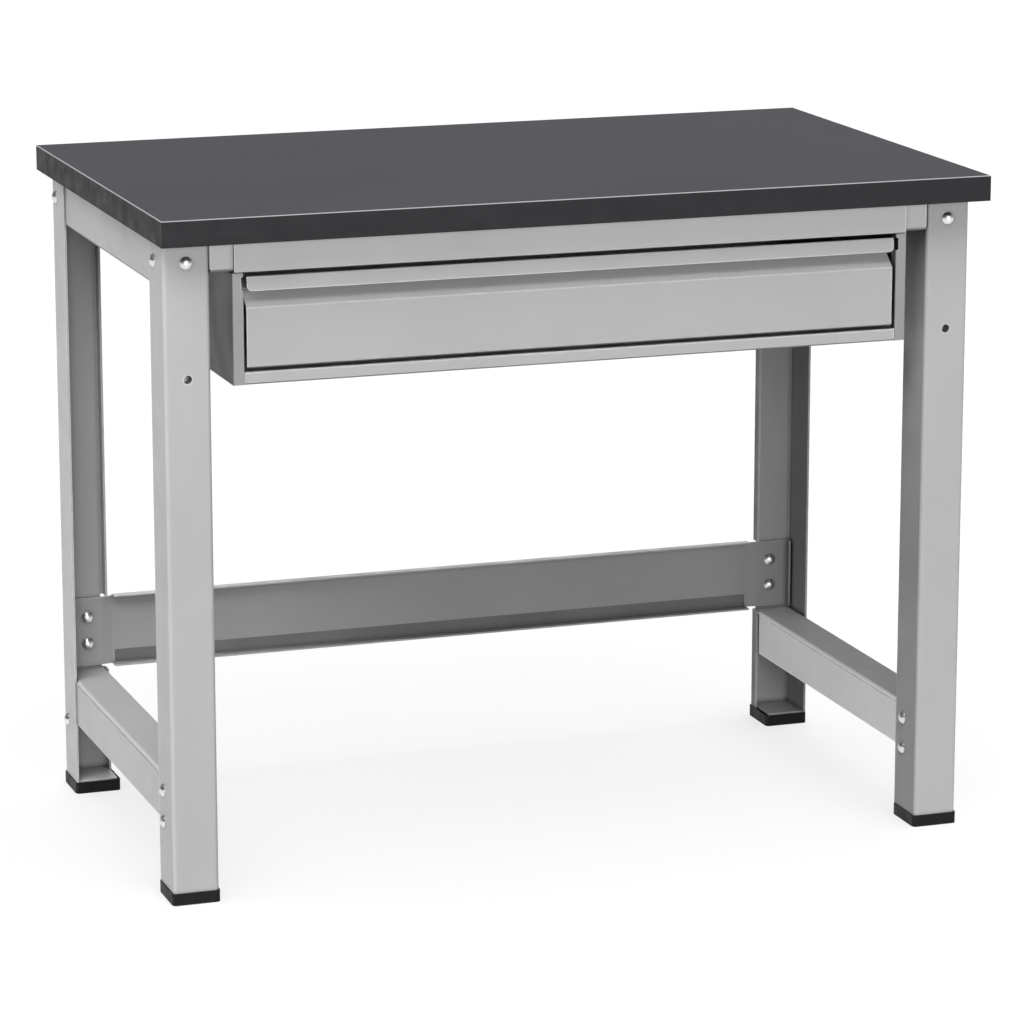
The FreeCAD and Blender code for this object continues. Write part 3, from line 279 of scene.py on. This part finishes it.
GREY = (0.375, 0.376, 0.380)
finishes = {
    "chipboard": chipboard(),
    "grey_laminate": worktop_laminate(),
    "backing_laminate": edge_band("backing_laminate", (0.045, 0.045, 0.048)),
    "grey_edge": edge_band("edge_band", (0.0155, 0.015, 0.017)),
    "black_plastic": black_plastic(),
    "zinc_steel": zinc("zinc_steel", (0.60, 0.61, 0.62), stretch=(1, 0.06, 1), rough=(0.26, 0.42)),
    "bright_steel": zinc("bright_steel", (0.78, 0.78, 0.79), rough=(0.08, 0.18)),
    "dark_steel": zinc("dark_steel", (0.30, 0.30, 0.305), rough=(0.5, 0.65)),
    "zinc_fastener": zinc("zinc_fastener", (0.76, 0.77, 0.78), rough=(0.24, 0.38)),
    "grey_paint": powder_coat("grey_paint", GREY),
}
slot_of = {entry["node"]: entry["material_slot"] for entry in frame["record"]["subparts"]}


# --------------------------------------------------------------- CAD pieces

SHARP_ANGLE = 30    # degrees; a fold sharper than this keeps its hard edge
BEVEL_ANGLE = 40    # degrees; an edge sharper than this is rounded a little
BEVEL_SEGMENTS = 2
BEVELS = {"grey_paint": 0.00055, "black_plastic": 0.0006, "grey_edge": 0.0003}

for name, piece in nodes.items():
    slot = slot_of[name]
    piece.data.materials.clear()
    piece.data.materials.append(finishes[slot])
    piece.data.shade_smooth()
    piece.data.set_sharp_from_angle(angle=math.radians(SHARP_ANGLE))
    if slot in BEVELS:
        bevel = piece.modifiers.new("small_edges", "BEVEL")
        bevel.width = BEVELS[slot]
        bevel.segments = BEVEL_SEGMENTS
        bevel.limit_method = "ANGLE"
        bevel.angle_limit = math.radians(BEVEL_ANGLE)
        bevel.harden_normals = True


# ------------------------------------------------------------ studio set-up

FLOOR_REACH = 30.0
FLOOR_DROP = 0.0002    # keeps the floor clear of the feet's undersides


def make_floor():
    """A wide pale floor just under the feet, hidden from diffuse bounces."""
    mesh = bpy.data.meshes.new("floor")
    reach = FLOOR_REACH
    mesh.from_pydata([(-reach, -reach, 0), (reach, -reach, 0), (reach, reach, 0),
                      (-reach, reach, 0)], [], [(0, 1, 2, 3)])
    floor = bpy.data.objects.new("floor", mesh)
    floor.location.z = cad_low.z - FLOOR_DROP
    bpy.context.scene.collection.objects.link(floor)
    finish = Finish("floor", Roughness=0.9, Specular_IOR_Level=0.1)
    tone = finish.span(finish.noise(0.7, 2.0), 0.3, 0.7, 0.0, 1.0)
    finish.colour(finish.blend(tone, (0.795, 0.795, 0.795), (0.805, 0.805, 0.805)))
    mesh.materials.append(finish.material)
    floor.visible_diffuse = False
    return floor


def make_world():
    """White light, weaker from below and from the left; the camera sees plain white."""
    world = bpy.data.worlds.new("studio")
    bpy.context.scene.world = world
    world.use_nodes = True
    tree = world.node_tree
    direction = tree.nodes.new("ShaderNodeTexCoord").outputs["Generated"]
    split = tree.nodes.new("ShaderNodeSeparateXYZ")
    tree.links.new(direction, split.inputs["Vector"])

    def ramp(axis, low, high, to_low, to_high):
        made = tree.nodes.new("ShaderNodeMapRange")
        tree.links.new(split.outputs[axis], made.inputs["Value"])
        for name, number in (("From Min", low), ("From Max", high),
                             ("To Min", to_low), ("To Max", to_high)):
            made.inputs[name].default_value = number
        return made.outputs["Result"]

    glow = ramp("Z", -0.25, 0.1, 0.06, 0.38)
    for factor in (ramp("Z", 0.25, 0.85, 1.0, 0.9), ramp("X", -0.8, -0.1, 0.3, 1.0)):
        product = tree.nodes.new("ShaderNodeMath")
        product.operation = "MULTIPLY"
        tree.links.new(glow, product.inputs[0])
        tree.links.new(factor, product.inputs[1])
        glow = product.outputs["Value"]
    backdrop = tree.nodes.new("ShaderNodeMath")
    backdrop.operation = "MAXIMUM"
    tree.links.new(glow, backdrop.inputs[0])
    tree.links.new(tree.nodes.new("ShaderNodeLightPath").outputs["Is Camera Ray"],
                   backdrop.inputs[1])
    tree.links.new(backdrop.outputs["Value"], tree.nodes["Background"].inputs["Strength"])
    tree.nodes["Background"].inputs["Color"].default_value = (1.0, 1.0, 1.0, 1)


def pieces_named(*starts):
    return [piece for name, piece in nodes.items() if name.startswith(starts)]


def light_only(lamp, name, objects):
    """The lamp lights these objects and no others."""
    receivers = bpy.data.collections.new(name)
    for item in objects:
        receivers.objects.link(item)
    lamp.light_linking.receiver_collection = receivers


def make_sun(name, strength, angle, azimuth, elevation, shadows=True):
    """A sun of this strength and disc angle, shining from azimuth and elevation."""
    light = bpy.data.lights.new(name, "SUN")
    light.energy = strength
    light.angle = math.radians(angle)
    lamp = bpy.data.objects.new(name, light)
    back = towards(azimuth, elevation)
    lamp.rotation_mode = "QUATERNION"
    lamp.rotation_quaternion = back.to_track_quat("Z", "Y")
    light.use_shadow = shadows
    bpy.context.scene.collection.objects.link(lamp)
    return lamp


CAMERA_PLACE = (-1.700, -4.928, 1.598)
CAMERA_AZIMUTH = -19.15
CAMERA_ELEVATION = 13.28
CAMERA_LENS = 154.65


def towards(azimuth, elevation):
    """The unit direction at azimuth (0 is the front, positive is the right) and elevation."""
    a = math.radians(azimuth)
    e = math.radians(elevation)
    return Vector((math.sin(a) * math.cos(e), -math.cos(a) * math.cos(e), math.sin(e)))


def make_camera():
    data = bpy.data.cameras.new("camera")
    data.sensor_fit = "HORIZONTAL"
    data.sensor_width = 36.0
    data.lens = CAMERA_LENS
    data.clip_start = 0.1
    data.clip_end = 100.0
    camera = bpy.data.objects.new("camera", data)
    back = towards(CAMERA_AZIMUTH, CAMERA_ELEVATION)
    camera.location = CAMERA_PLACE
    camera.rotation_mode = "QUATERNION"
    camera.rotation_quaternion = back.to_track_quat("Z", "Y")
    bpy.context.scene.collection.objects.link(camera)
    bpy.context.scene.camera = camera


floor = make_floor()
make_world()
front = pieces_named("leg_front", "front_crossbar", "housing", "drawer", "edge_band",
                     "foot_cap_front", "corner_bolts", "side_rail_bolts", "lower_rail_bolts",
                     "leg_insert")
fascia = pieces_named("front_crossbar", "housing_fascia")
outside = pieces_named("leg_front_left", "leg_rear_left", "lower_side_rail", "foot_cap",
                       "upper_side_rail_left")
deep = pieces_named("leg_rear", "lower_side_rail", "foot_cap_rear", "stretcher_bolts")
back_rail = pieces_named("rear_stretcher")
rear = pieces_named("leg_rear", "rear", "housing_back", "housing_side_right", "leg_front_right",
                    "upper_side_rail_right", "edge_band")
shaded = pieces_named("lower_side_rail_right", "housing_side")
far_rail = pieces_named("lower_side_rail_right")
lit = [piece for piece in nodes.values() if piece not in shaded]
light_only(make_sun("key", 2.9, 38, -40, 55), "key_receivers", lit)
light_only(make_sun("front_fill", 2.25, 20, 4, 5), "front_receivers", front)
light_only(make_sun("fascia_fill", 0.8, 20, 4, 5), "fascia_receivers", fascia)
light_only(make_sun("deep_fill", 1.45, 30, -8, 8), "deep_receivers", deep)
light_only(make_sun("stretcher_fill", 1.1, 30, -8, 8), "stretcher_receivers", back_rail)
light_only(make_sun("left_fill", 2.2, 40, -86, 12), "left_receivers", outside)
light_only(make_sun("rail_fill", 1.85, 40, -70, 18), "rail_receivers", far_rail)
light_only(make_sun("back_fill", 1.9, 60, 140, 20), "back_receivers", rear)
light_only(make_sun("floor_wash", 2.75, 20, 0, 89, shadows=False), "wash_receivers", [floor])
light_only(make_sun("floor_shade", 0.55, 90, -20, 62), "shade_receivers", [floor])
make_camera()
bpy.context.scene.view_settings.view_transform = "Standard"
